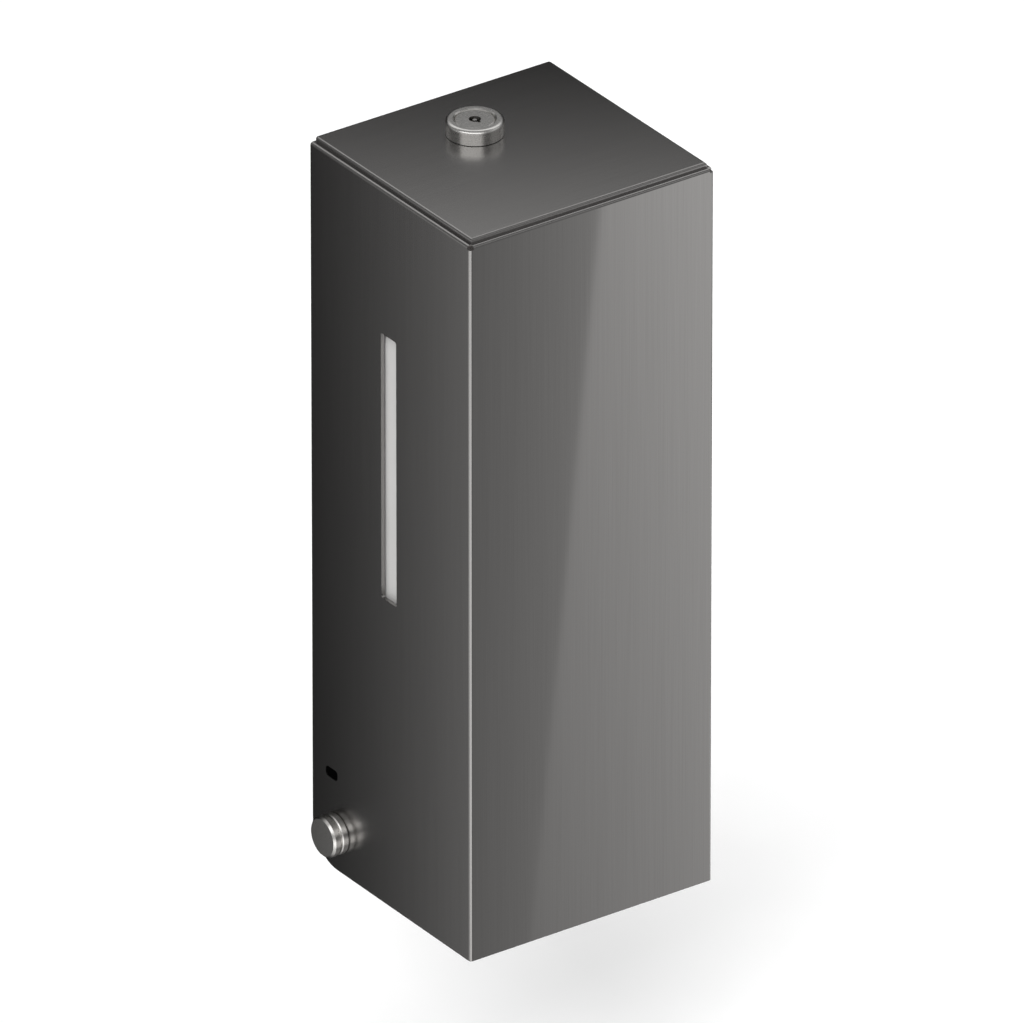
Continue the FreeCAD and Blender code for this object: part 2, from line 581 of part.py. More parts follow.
def make_wall_plate():
    """Steel channel on the wall: back, two shallow returns, and an ear for each pivot."""
    body = new_body("wall_plate_body")
    side = new_sketch(body, "YZ_Plane")
    ear_top = f"({PIVOT_Z} + ear_top)"
    add_outline(side, [
        ("0", PIVOT_Z), ("0", "plate_top"), ("-return_depth", "plate_top"),
        ("-return_depth", f"{ear_top} + ear_depth - return_depth"), ("-ear_depth", ear_top),
        ("-ear_depth", PIVOT_Z),
    ])
    pad(body, side, "2 * plate_half_width", both_ways=True)
    lobe = new_sketch(body, "YZ_Plane")
    add_circle(lobe, (PIVOT_Y, PIVOT_Z), "ear_radius")
    pad(body, lobe, "2 * plate_half_width", both_ways=True)
    inside = new_sketch(body, "XY_Plane")
    inner = "(plate_half_width - plate_steel)"
    add_rectangle(inside, f"-{inner}", "-2 * ear_depth", inner, "-plate_steel")
    pocket(body, inside)
    pivots = new_sketch(body, "YZ_Plane")
    add_circle(pivots, (PIVOT_Y, PIVOT_Z), "pivot_radius + pivot_play")
    pocket(body, pivots)
    screws = new_sketch(body, "XZ_Plane")
    for x in ("-screw_spacing_x / 2", "screw_spacing_x / 2"):
        for z in ("-screw_spacing_z / 2", "screw_spacing_z / 2"):
            add_circle(screws, (x, z), "wall_screw_radius")
    for x, z in chassis_screw_places():
        add_circle(screws, (x, z), "small_screw_radius")
    pocket(body, screws)
    keep(body, "wall_plate")


def chassis_screw_places():
    return [(f"{sign}chassis_screw_x", f"{rise} - cover_drop")
            for sign in SIDES.values() for rise in ("chassis_screw_low", "chassis_screw_high")]


def make_pivots():
    """Shoulder bolt, cap, friction washer and weld nut of each pivot."""
    shoulder = "(cover_width / 2 - plate_half_width + plate_steel)"
    nuts = []
    for side, sign in SIDES.items():
        outwards = "-x" if sign else "x"
        outer_face = (f"{sign}(cover_width / 2 + pivot_play)", PIVOT_Y, PIVOT_Z)
        thread_end = f"-({shoulder} + pivot_play + pivot_thread_length)"
        keep(turned(f"pivot_bolt_{side}_body", [
            ("0", thread_end), ("pivot_thread_radius", thread_end),
            ("pivot_thread_radius", f"-({shoulder} + pivot_play)"),
            ("pivot_radius", f"-({shoulder} + pivot_play)"),
            ("pivot_radius", "0"), ("pivot_head_radius - edge_break", "0"),
            ("pivot_head_radius", "edge_break"),
            ("pivot_head_radius", "pivot_head_height - edge_break"),
            ("pivot_head_radius - edge_break", "pivot_head_height"),
            ("pivot_socket_radius", "pivot_head_height"),
            ("pivot_socket_radius", "pivot_head_height - pivot_socket_depth"),
            ("0", "pivot_head_height - pivot_socket_depth"),
        ], outer_face, outwards), f"pivot_bolt_{side}")
        cap_base = "(pivot_head_height + pivot_groove)"
        cap_top = f"({cap_base} + pivot_cap_height)"
        keep(turned(f"pivot_cap_{side}_body", [
            ("0", "pivot_head_height - pivot_socket_depth / 2"),
            ("pivot_socket_radius - pivot_play", "pivot_head_height - pivot_socket_depth / 2"),
            ("pivot_socket_radius - pivot_play", "pivot_head_height"),
            ("pivot_neck_radius", "pivot_head_height"),
            ("pivot_neck_radius", cap_base), ("pivot_head_radius - edge_break", cap_base),
            ("pivot_head_radius", f"{cap_base} + edge_break"),
            ("pivot_head_radius", f"{cap_top} - pivot_cap_edge"),
            ("pivot_head_radius - pivot_cap_edge", cap_top), ("0", cap_top),
        ], outer_face, outwards), f"pivot_cap_{side}")
        washer_face = (f"{sign}plate_half_width", PIVOT_Y, PIVOT_Z)
        gap = "cover_width / 2 - cover_steel - plate_half_width"
        keep(ring(f"pivot_washer_{side}_body", "pivot_radius + pivot_play", "pivot_washer_radius", gap,
                  washer_face, outwards), f"pivot_washer_{side}")
        nut_face = (f"{sign}(plate_half_width - plate_steel - pivot_nut_height)", PIVOT_Y, PIVOT_Z)
        nuts.append(hexagon(f"pivot_nut_{side}", "pivot_nut_radius", "pivot_nut_height",
                            "pivot_thread_radius",
                            nut_face, outwards))
    keep(group("pivot_nut_group", nuts), "pivot_nuts")
    pads = [
        block("guide_pad_right", ("plate_half_width", "-(return_depth - pad_edge)", "pad_level"),
              ("pad_thickness", "pad_depth", "pad_length")),
        block("guide_pad_left",
              ("-plate_half_width - pad_thickness", "-(return_depth - pad_edge)", "pad_level"),
              ("pad_thickness", "pad_depth", "pad_length")),
    ]
    keep(group("guide_pad_group", pads), "guide_pads")


# ---- chassis and base tray -----------------------------------------------------------------------

def make_chassis():
    """Moulded carrier on the wall plate: back, bottle shelf with its rim, deck and gussets."""
    half = "chassis_half_width"
    back_face = "-(plate_steel + chassis_wall)"
    deck = "(deck_rise - cover_drop)"
    shelf = "(shelf_rise - cover_drop)"
    depth = "(chassis_front - plate_steel)"
    solids = [
        block("chassis_back", (f"-{half}", back_face, deck),
              (f"2 * {half}", "chassis_wall", "shelf_rise - deck_rise")),
        block("chassis_shelf", (f"-{half}", "-chassis_front", shelf),
              (f"2 * {half}", depth, "shelf_thickness")),
        block("chassis_deck", (f"-{half}", "-chassis_front", deck),
              (f"2 * {half}", depth, "deck_thickness")),
    ]
    for side, sign in SIDES.items():
        edge = f"-{half}" if sign else f"{half} - rim_width"
        solids.append(block(f"chassis_rim_{side}", (edge, "-chassis_front", SHELF_TOP),
                            ("rim_width", depth, "rim_height")))
        solids.append(block(f"chassis_gusset_{side}", (edge, f"{back_face} - gusset_depth", deck),
                            ("rim_width", "gusset_depth", "shelf_rise - deck_rise")))
        post = {"left": "board_post_edge", "right": "board_width - board_post_edge - board_post"}[side]
        solids.append(block(f"board_post_{side}",
                            (f"{post} - board_left", "-board_setback", f"{deck} + deck_thickness"),
                            ("board_post", "board_post", "board_boss")))
        boss_z = "(rod_top_rise - cover_drop)"
        solids.append(block(f"rod_lug_{side}",
                            (f"{sign}rod_x - rod_boss_radius", "-(rod_setback + rod_boss_radius)",
                             boss_z),
                            ("2 * rod_boss_radius", "rod_setback + rod_boss_radius - plate_steel",
                             "chassis_wall")))
    holes = [
        rod("cap_opening", ("0", PUMP_Y, f"{shelf} - shelf_thickness"), "cap_hole",
            "3 * shelf_thickness"),
        rod("nozzle_opening", ("0", PUMP_Y, f"{deck} - deck_thickness"), "nozzle_hole",
            "3 * deck_thickness"),
        block("sensor_opening",
              ("-sensor_width / 2", "-sensor_setback - sensor_depth / 2", f"{deck} - deck_thickness"),
              ("sensor_width", "sensor_depth", "3 * deck_thickness")),
    ]
    for side, sign in SIDES.items():
        holes.append(rod(f"wall_screw_access_{side}",
                         (f"{sign}screw_spacing_x / 2", "0", "-screw_spacing_z / 2"),
                         "access_radius", "2 * access_radius", "-y"))
        holes.append(rod(f"guide_rod_hole_{side}", (f"{sign}rod_x", "-rod_setback", deck), "rod_radius",
                         "rod_top_rise"))
        space_edge = "-cover_width / 2" if sign else "tray_rear_half_width"
        holes.append(block(f"pivot_nut_space_{side}", (space_edge, "-nut_space", FLOOR),
                           ("cover_width / 2 - tray_rear_half_width", "nut_space", "nut_space_rise")))
        holes.append(rod(f"base_screw_hole_{side}",
                         (f"{sign}base_screw_x", "-sensor_setback", f"{deck} - overcut"),
                         "small_screw_radius", "deck_thickness + 2 * overcut"))
    for index, (x, z) in enumerate(chassis_screw_places(), start=1):
        holes.append(rod(f"chassis_screw_hole_{index}", (x, "0", z), "small_screw_radius",
                         "3 * chassis_wall", "-y"))
    keep(cut("chassis_moulding", join("chassis_solids", solids), holes), "chassis")
    screws = [small_screw(f"chassis_screw_{index}", (x, back_face, z), "-y",
                          "(plate_steel + chassis_wall)")
              for index, (x, z) in enumerate(chassis_screw_places(), start=1)]
    keep(group("chassis_screw_group", screws), "chassis_screws")


def make_base_tray():
    """Black tray that closes the underside, with openings for the nozzle and the sensor."""
    body = new_body("base_tray_body")
    floor = "(tray_bottom_rise - cover_drop)"
    outline = [
        ("-tray_half_width", "-tray_front"), ("tray_half_width", "-tray_front"),
        ("tray_half_width", "-tray_notch"),
        ("tray_rear_half_width", "-tray_notch"), ("tray_rear_half_width", "-tray_rear"),
        ("-tray_rear_half_width", "-tray_rear"), ("-tray_rear_half_width", "-tray_notch"),
        ("-tray_half_width", "-tray_notch"),
    ]
    plan = new_sketch(body, "XY_Plane", floor)
    add_outline(plan, outline)
    pad(body, plan, "deck_rise - tray_bottom_rise")
    well = new_sketch(body, "XY_Plane", "(deck_rise - cover_drop)")
    add_rectangle(well, "-tray_rear_half_width + tray_wall", "-tray_front + tray_wall",
                  "tray_rear_half_width - tray_wall", "-tray_rear - tray_wall")
    pocket(body, well, "deck_rise - tray_bottom_rise - tray_thickness")
    low, front = number(floor), number("-tray_front")
    round_edges(body, "tray_wall / 2", lambda edge: lies_on(edge, z=low))
    nozzle = new_sketch(body, "XY_Plane", floor)
    add_circle(nozzle, ("0", PUMP_Y), "nozzle_hole")
    pocket(body, nozzle, "2 * tray_thickness", backwards=True)
    sensor = new_sketch(body, "XY_Plane", floor)
    add_rectangle(sensor, "-sensor_width / 2", "-sensor_setback - sensor_depth / 2",
                  "sensor_width / 2", "-sensor_setback + sensor_depth / 2")
    pocket(body, sensor, "2 * tray_thickness", backwards=True)
    screw_holes = new_sketch(body, "XY_Plane", floor)
    for sign in SIDES.values():
        add_circle(screw_holes, (f"{sign}base_screw_x", "-sensor_setback"), "small_screw_radius")
    pocket(body, screw_holes, "2 * tray_thickness", backwards=True)
    keep(body, "base_tray")
    screws = [small_screw(f"base_screw_{side}", (f"{sign}base_screw_x", "-sensor_setback", floor), "-z",
                          "(deck_rise - tray_bottom_rise + deck_thickness / 2)") for side,
                          sign in SIDES.items()]
    keep(group("base_screw_group", screws), "base_screws")


def make_sensor():
    """Dark window in the tray, and above it the board with the infrared diodes."""
    floor = "(tray_bottom_rise - cover_drop)"
    body = new_body("sensor_window_body")
    lens = new_sketch(body, "XY_Plane", floor)
    add_rectangle(lens, "-sensor_width / 2", "-sensor_setback - sensor_depth / 2",
                  "sensor_width / 2", "-sensor_setback + sensor_depth / 2")
    pad(body, lens, "tray_thickness")
    lip = new_sketch(body, "XY_Plane", f"{floor} + tray_thickness")
    add_rectangle(lip, "-sensor_width / 2 - sensor_lip",
                  "-sensor_setback - sensor_depth / 2 - sensor_lip",
                  "sensor_width / 2 + sensor_lip", "-sensor_setback + sensor_depth / 2 + sensor_lip")
    pad(body, lip, "sensor_lip / 2")
    keep(body, "sensor_window")
    board_low = f"({floor} + tray_thickness + sensor_lip / 2 + diode_length)"
    keep(block("sensor_pcb",
               ("-sensor_board_width / 2", "-sensor_setback - sensor_board_depth / 2", board_low),
               ("sensor_board_width", "sensor_board_depth", "board_thickness")), "sensor_board")
    for label, sign in (("ir_emitter", "-"), ("ir_receiver", "")):
        keep(turned(f"{label}_body", [
            ("0", "0"), ("diode_radius + edge_break", "0"), ("diode_radius + edge_break", "edge_break"),
            ("diode_radius", "edge_break"), ("diode_radius", "diode_length - diode_radius / 2"),
            ("diode_radius * 0.7", "diode_length - diode_radius / 5"), ("0", "diode_length - diode_play"),
        ], (f"{sign}diode_spread", "-sensor_setback", board_low), "-z"), label)


# ---- refill bottle and pump ----------------------------------------------------------------------

def rounded_block(name, low, size, radius):
    """A block with every edge rounded."""
    body = new_body(name)
    plan = new_sketch(body, "XY_Plane")
    add_rectangle(plan, "0", "0", size[0], size[1])
    pad(body, plan, size[2])
    round_edges(body, radius, lambda edge: True)
    return place(body, low)


def make_bottle():
    low = ("-bottle_half_width", "-bottle_front", SHELF_TOP)
    size = ("2 * bottle_half_width", "bottle_front - bottle_back", "bottle_height")
    hollow_low = [f"{text} + bottle_wall" for text in low]
    hollow_size = [f"{text} - 2 * bottle_wall" for text in size]
    neck_foot = f"({SHELF_TOP} - neck_length)"
    outside = join("bottle_outside", [
        rounded_block("bottle_block", low, size, "bottle_corner"),
        rod("bottle_neck", ("0", PUMP_Y, neck_foot), "neck_radius", "neck_length + bottle_wall"),
    ])
    inside = join("bottle_inside", [
        rounded_block("bottle_hollow", hollow_low, hollow_size, "bottle_corner - bottle_wall"),
        rod("bottle_mouth", ("0", PUMP_Y, f"{neck_foot} - neck_wall"), "neck_radius - neck_wall",
            "neck_length + 3 * neck_wall"),
    ])
    keep(cut("bottle_shell", outside, [inside]), "refill_bottle")
    gasket_low = f"({neck_foot} - cap_gasket)"
    keep(ring("cap_gasket_ring", "pump_radius + cap_play", "pump_flange_radius", "cap_gasket",
              ("0", PUMP_Y, gasket_low)), "cap_gasket")
    flange_low = f"({gasket_low} - pump_flange)"
    rim = "(cap_length - cap_base)"
    keep(turned("bottle_cap_body", [
        ("pump_radius + cap_play", "-cap_base"), ("cap_radius - edge_break", "-cap_base"),
        ("cap_radius", "edge_break - cap_base"), ("cap_radius", rim), ("neck_radius + cap_play", rim),
        ("neck_radius + cap_play", "0"), ("pump_radius + cap_play", "0"),
    ], ("0", PUMP_Y, flange_low)), "bottle_cap")
    roof = "(pump_flange - pump_roof)"
    keep(turned("pump_cylinder_body", [
        ("inlet_radius", roof), ("pump_bore", roof), ("pump_bore", "pump_floor - pump_length"),
        ("stem_radius + stem_play", "pump_floor - pump_length"),
        ("stem_radius + stem_play", "-pump_length"),
        ("pump_radius - edge_break", "-pump_length"), ("pump_radius", "edge_break - pump_length"),
        ("pump_radius", "0"), ("pump_flange_radius", "0"), ("pump_flange_radius", "pump_flange"),
        ("inlet_radius", "pump_flange"),
    ], ("0", PUMP_Y, flange_low)), "pump_cylinder")
    drop = "(sqrt(ball_radius ^ 2 - inlet_radius ^ 2) + cap_play)"
    ball = document.addObject("Part::Sphere", "ball")
    bind(ball, {"Radius": "ball_radius"})
    place(ball, ("0", PUMP_Y, f"{flange_low} + {roof} - {drop}"))
    keep(ball, "inlet_ball")


def make_plunger():
    """Hollow stem with its piston, actuating collar and the rubber nozzle at its foot."""
    foot = "stem_foot_rise - cover_drop"
    collar = "(collar_rise - stem_foot_rise)"
    piston = "(piston_rise - stem_foot_rise)"
    keep(turned("pump_plunger_body", [
        ("stem_bore", "0"), ("stem_radius", "0"), ("stem_radius", collar), ("stem_collar_radius", collar),
        ("stem_collar_radius", f"{collar} + stem_collar_height"),
        ("stem_radius", f"{collar} + stem_collar_height"),
        ("stem_radius", piston), ("pump_bore - piston_groove", piston),
        ("pump_bore - piston_groove", f"{piston} + piston_length"),
        ("stem_bore", f"{piston} + piston_length"),
    ], ("0", PUMP_Y, foot)), "pump_plunger")
    keep(ring("piston_seal_ring", "pump_bore - piston_groove", "pump_bore - piston_play",
              "piston_length - 2 * piston_groove",
              ("0", PUMP_Y, "piston_rise - cover_drop + piston_groove")), "piston_seal")
    tip = "(stem_foot_rise - nozzle_foot_rise)"
    keep(turned("nozzle_tip_body", [
        ("stem_bore / 2", "0"), ("nozzle_radius * 0.6", "0"), ("nozzle_radius", tip),
        ("nozzle_radius", f"{tip} + stem_radius"), ("stem_radius", f"{tip} + stem_radius"),
        ("stem_radius", tip),
        ("stem_bore / 2", tip),
    ], ("0", PUMP_Y, "nozzle_foot_rise - cover_drop")), "nozzle_tip")


def make_pump_spring():
    """Coil spring above the piston; its ends are cut flat."""
    low = number("piston_rise + piston_length - cover_drop")
    flange_low = number(f"{SHELF_TOP} - neck_length - cap_gasket - pump_flange")
    high = flange_low + number("pump_flange - pump_roof")
    wire, coil = number("spring_wire"), number("spring_radius")
    helix = Part.makeHelix(number("spring_pitch"), high - low - wire, coil)
    helix.translate(FreeCAD.Vector(0, 0, wire / 2))
    # the wire's section is an octagon, which keeps the long sweep light
    angles = [math.radians(45 * step) for step in range(8)]
    corners = [FreeCAD.Vector(coil + wire / 2 * math.cos(angle), 0,
                              wire / 2 * (1 + math.sin(angle))) for angle in angles]
    section = Part.makePolygon(corners + corners[:1])
    spring = document.addObject("Part::Feature", "pump_spring_wire")
    spring.Shape = Part.Wire(helix.Edges).makePipeShell([section], True, True)
    spring.Placement = FreeCAD.Placement(FreeCAD.Vector(0, number(PUMP_Y), low), FreeCAD.Rotation())
    keep(spring, "pump_spring")


# ---- rack, gears and motor -----------------------------------------------------------------------

RACK_LINE = "(-rack_setback)"
PINION_Y = f"({RACK_LINE} + rack_module * pinion_teeth / 2 + gear_slack)"
MOTOR_Y = f"({PINION_Y} + wheel_module * (wheel_teeth + motor_teeth) / 2 + gear_slack)"
GEAR_Z = "(gear_rise - cover_drop)"
WHEEL_X = "(rack_width / 2 + gear_gap)"
RIGHT_FRAME_X = "(rack_width / 2 + wheel_width + 2 * gear_gap)"
LEFT_FRAME_X = "(-rack_width / 2 - gear_gap - frame_plate)"


def toothed(module, teeth, width, first_turn):
    """Involute gear about the X axis, from x = 0 to its width; first_turn is in degrees."""
    outline = fcgear.FCWireBuilder()
    involute.CreateExternalGear(outline, module, teeth, number("gear_angle"), True)
    wire = Part.Wire([edge.toShape() for edge in outline.wire])
    gear = Part.Face(wire).extrude(FreeCAD.Vector(0, 0, width))
    gear.rotate(FreeCAD.Vector(), FreeCAD.Vector(0, 0, 1), first_turn)
    gear.rotate(FreeCAD.Vector(), FreeCAD.Vector(0, 1, 0), 90)
    return gear


def make_rack_yoke():
    """Fork under the stem's collar, with the rack that lifts it and holes for the guide rods."""
    collar_foot = "(collar_rise - cover_drop - yoke_thickness)"
    module, dedendum = number("rack_module"), number("dedendum")
    pitch, slope = math.pi * module, math.tan(math.radians(number("gear_angle")))
    rack_line, gear_level = number(RACK_LINE), number(GEAR_Z)
    foot, top = number("rack_foot_rise - cover_drop"), number("rack_top_rise - cover_drop")
    root, crest = rack_line - dedendum * module, rack_line + module
    back = root - number("rack_back")
    outline = [(back, foot), (root, foot)]
    middle = gear_level + pitch * round((foot - gear_level) / pitch) + pitch
    while middle + pitch < top:
        for offset, depth in ((-1, root), (-1, crest), (1, crest), (1, root)):
            half_tooth = pitch / 4 - slope * (depth - rack_line)
            outline.append((depth, middle + offset * half_tooth))
        middle += pitch
    outline += [(root, top), (back, top)]
    points = [FreeCAD.Vector(-number("rack_width") / 2, y, z) for y, z in outline]
    rack = Part.Face(Part.makePolygon(points + points[:1])).extrude(FreeCAD.Vector(number("rack_width"),
                                                                                   0, 0))
    rack_part = document.addObject("Part::Feature", "rack_teeth")
    rack_part.Shape = rack
    thickness, half = "yoke_thickness", "yoke_half_width"
    rear = f"({RACK_LINE} - dedendum * rack_module)"
    fork = block("yoke_fork", (f"-{half}", "-yoke_front", collar_foot),
                 (f"2 * {half}", f"yoke_front + {rear}", thickness))
    back_bar = block("yoke_bar", ("-rack_width / 2", f"{rear} - rack_back", collar_foot),
                     ("rack_width", "rack_back",
                      "rack_foot_rise - collar_rise + yoke_thickness + rack_module"))
    holes = [
        rod("yoke_stem_hole", ("0", PUMP_Y, f"{collar_foot} - overcut"), "yoke_slot",
            f"{thickness} + 2 * overcut"),
        block("yoke_stem_slot", ("-yoke_slot", "-yoke_front - overcut", f"{collar_foot} - overcut"),
              ("2 * yoke_slot", "yoke_front + overcut - pump_setback", f"{thickness} + 2 * overcut")),
    ]
    holes += [rod(f"yoke_rod_hole_{side}", (f"{sign}rod_x", "-rod_setback", f"{collar_foot} - overcut"),
                  "rod_radius + rod_play", f"{thickness} + 2 * overcut") for side, sign in SIDES.items()]
    keep(cut("rack_yoke_shape", join("rack_yoke_solids", [fork, back_bar, rack_part]), holes),
         "rack_yoke")
    rods = [rod(f"guide_rod_{side}", (f"{sign}rod_x", "-rod_setback", "deck_rise - cover_drop"),
                "rod_radius",
                "rod_top_rise + chassis_wall - deck_rise") for side, sign in SIDES.items()]
    keep(group("guide_rod_group", rods), "guide_rods")


def make_gears():
    centre = FreeCAD.Vector(0, number(PINION_Y), number(GEAR_Z))
    rack_width, wheel_width = number("rack_width"), number("wheel_width")
    # a tooth space of the pinion faces the rack tooth that lies at the gear's own level
    pinion_teeth, wheel_teeth = int(number("pinion_teeth")), int(number("wheel_teeth"))
    motor_teeth = int(number("motor_teeth"))
    half_tooth = 180 / pinion_teeth
    pinion = toothed(number("rack_module"), pinion_teeth, rack_width, 90 + half_tooth)
    pinion.translate(FreeCAD.Vector(-rack_width / 2, 0, 0))
    hub = Part.makeCylinder(number("rack_module * pinion_teeth / 2"), number("gear_gap"),
                            FreeCAD.Vector(rack_width / 2, 0, 0), FreeCAD.Vector(1, 0, 0))
    wheel = toothed(number("wheel_module"), wheel_teeth, wheel_width, 90)
    wheel.translate(FreeCAD.Vector(number(WHEEL_X), 0, 0))
    bore = Part.makeCylinder(number("axle_radius + axle_play"), 4 * rack_width,
                             FreeCAD.Vector(-2 * rack_width, 0, 0), FreeCAD.Vector(1, 0, 0))
    reduction = document.addObject("Part::Feature", "reduction_gear_shape")
    reduction.Shape = pinion.fuse([hub, wheel]).cut(bore).removeSplitter()
    reduction.Placement = FreeCAD.Placement(centre, FreeCAD.Rotation())
    keep(reduction, "reduction_gear")
    motor_gear = toothed(number("wheel_module"), motor_teeth, wheel_width, 90 + 180 / motor_teeth)
    shaft_bore = Part.makeCylinder(number("shaft_radius"), 2 * wheel_width,
                                   FreeCAD.Vector(-wheel_width, 0, 0),
                                   FreeCAD.Vector(1, 0, 0))
    pinion_part = document.addObject("Part::Feature", "motor_pinion_shape")
    pinion_part.Shape = motor_gear.cut(shaft_bore)
    pinion_part.Placement = FreeCAD.Placement(
        FreeCAD.Vector(number(WHEEL_X), number(MOTOR_Y), number(GEAR_Z)), FreeCAD.Rotation())
    keep(pinion_part, "motor_pinion")


def make_gear_frame():
    """Two plates and a bridge carry the axle and the motor, hung on the chassis back."""
    low = f"({GEAR_Z} - frame_height / 2)"
    depth = "(frame_front - frame_back)"
    width = f"({RIGHT_FRAME_X} + frame_plate - {LEFT_FRAME_X})"
    solids = [
        block("frame_left", (LEFT_FRAME_X, "-frame_front", low), ("frame_plate", depth, "frame_height")),
        block("frame_right", (RIGHT_FRAME_X, "-frame_front", low),
              ("frame_plate", depth, "frame_height")),
        block("frame_bridge", (LEFT_FRAME_X, "-frame_back", low),
              (width, "frame_back - plate_steel - chassis_wall", "frame_height")),
    ]
    shaft_line = (f"{LEFT_FRAME_X} - overcut", MOTOR_Y, GEAR_Z)
    holes = [
        rod("axle_hole", (f"{LEFT_FRAME_X} - overcut", PINION_Y, GEAR_Z), "axle_radius",
            f"{width} + 2 * overcut", "x"),
        rod("motor_boss_hole", shaft_line, "motor_boss", "frame_plate + 2 * overcut", "x"),
    ]
    keep(cut("gear_frame_shape", join("gear_frame_solids", solids), holes), "gear_frame")
    keep(rod("gear_axle_pin", (LEFT_FRAME_X, PINION_Y, GEAR_Z), "axle_radius", width, "x"), "gear_axle")
    can = (f"{LEFT_FRAME_X} - motor_length", MOTOR_Y, GEAR_Z)
    keep(turned("motor_body", [
        ("0", "0"), ("motor_radius - motor_edge", "0"), ("motor_radius", "motor_edge"),
        ("motor_radius", "motor_length"),
        ("motor_boss - cap_play", "motor_length"),
        ("motor_boss - cap_play", "motor_length + frame_plate / 2"),
        ("shaft_radius + axle_play", "motor_length + frame_plate / 2"),
        ("shaft_radius + axle_play", "motor_length - frame_plate"), ("0", "motor_length - frame_plate"),
    ], can, "x"), "motor")
    keep(rod("motor_shaft_pin", (f"{LEFT_FRAME_X} - frame_plate + axle_play", MOTOR_Y, GEAR_Z),
             "shaft_radius",
             f"{WHEEL_X} + wheel_width - {LEFT_FRAME_X} + frame_plate - axle_play", "x"), "motor_shaft")


# ---- batteries and electronics -------------------------------------------------------------------

def make_batteries():
    """Open-fronted box with four cells, their contacts and a sliding door."""
    low = "(deck_rise + deck_thickness - cover_drop)"
    front = "(-(box_back + box_depth))"
    case = block("battery_case", ("box_left", front, low), ("box_width", "box_depth", "box_height"))
    hollow = block("battery_space", ("box_left + box_wall", f"{front} - overcut", f"{low} + box_wall"),
                   ("box_width - 2 * box_wall", "box_depth - box_wall + overcut",
                    "box_height - 2 * box_wall"))
    keep(cut("battery_box_shape", case, [hollow]), "battery_box")
    keep(join("battery_door_shape", [
        block("door_panel", ("box_left", f"{front} - door_thickness", low),
              ("box_width", "door_thickness", "box_height")),
        block("door_tab", ("box_left + box_width / 2 - door_tab / 2", f"{front} - 2 * door_thickness",
                           f"{low} + box_height - 2 * door_thickness"),
                           ("door_tab", "door_thickness", "door_thickness")),
    ]), "battery_door")
    cells, contacts = [], []
    middle_x, middle_y = "(box_left + box_width / 2)", f"({front} + box_depth / 2)"
    cell_low = f"({low} + box_wall + cell_gap)"
    for across in ("-", ""):
        for along in ("-", ""):
            x = f"{middle_x} {across or '+'} cell_pitch / 2"
            y = f"{middle_y} {along or '+'} cell_pitch / 2"
            up = across == along
            cell = turned(f"cell_{len(cells) + 1}", [
                ("0", "0"), ("cell_radius - edge_break", "0"), ("cell_radius", "edge_break"),
                ("cell_radius", "cell_length - edge_break"), ("cell_radius - edge_break", "cell_length"),
                ("cell_nub_radius", "cell_length"), ("cell_nub_radius", "cell_length + cell_nub"),
                ("0", "cell_length + cell_nub"),
            ], (x, y, cell_low if up else f"{cell_low} + cell_length + cell_nub"), "z" if up else "-z")
            cells.append(cell)
            for level in (f"{low} + box_wall", f"{low} + box_height - box_wall - contact_thickness"):
                corner = (f"{x} - contact_width / 2", f"{y} - contact_width / 2", level)
                contacts.append(block(f"contact_{len(contacts) + 1}", corner,
                                      ("contact_width", "contact_width", "contact_thickness")))
    keep(group("cell_group", cells), "batteries")
    keep(group("contact_group", contacts), "battery_contacts")


def make_control_board():
    """Board behind the cover's front on the left, with its chip, connectors and power switch."""
    low = "(deck_rise + deck_thickness - cover_drop)"
    left = "(-board_left)"
    board_low = f"({low} + board_boss)"
    keep(block("control_pcb", (left, "-board_setback", board_low),
               ("board_width", "board_thickness", "board_height")),
         "control_board")
    face = "(-board_setback)"
    keep(block("control_chip_case",
               (f"{left} + chip_left", f"{face} - chip_height", f"{board_low} + chip_rise"),
               ("chip_size", "chip_height", "chip_size")), "control_chip")
    connectors = []
    for index in range(3):
        corner = (f"{left} + connector_edge + {index} * connector_pitch", f"{face} - connector_depth",
                  f"{board_low} + connector_rise")
        connectors.append(block(f"connector_{index + 1}", corner,
                                ("connector_width", "connector_depth", "connector_height")))
    keep(group("connector_group", connectors), "board_connectors")
    switch_low = f"({board_low} + board_height - switch_height - switch_edge)"
    switch_left = f"({left} + switch_edge)"
    slot_left = f"({switch_left} + (switch_width - slider_width - slider_travel) / 2)"
    shell = block("switch_case", (switch_left, f"{face} - switch_depth", switch_low),
                  ("switch_width", "switch_depth", "switch_height"))
    slot = block("switch_slot", (f"{slot_left} - cap_play", f"{face} - switch_depth - overcut",
                                 f"{switch_low} + (switch_height - slider_height) / 2 - cap_play"),
                 ("slider_width + slider_travel + 2 * cap_play", "switch_depth / 2 + overcut",
                  "slider_height + 2 * cap_play"))
    keep(cut("switch_shape", shell, [slot]), "power_switch")
    keep(block("slider_shape", (slot_left, f"{face} - switch_depth - slider_depth / 2",
                                f"{switch_low} + (switch_height - slider_height) / 2"),
               ("slider_width", "slider_depth", "slider_height")), "switch_slider")


# ---- wiring --------------------------------------------------------------------------------------

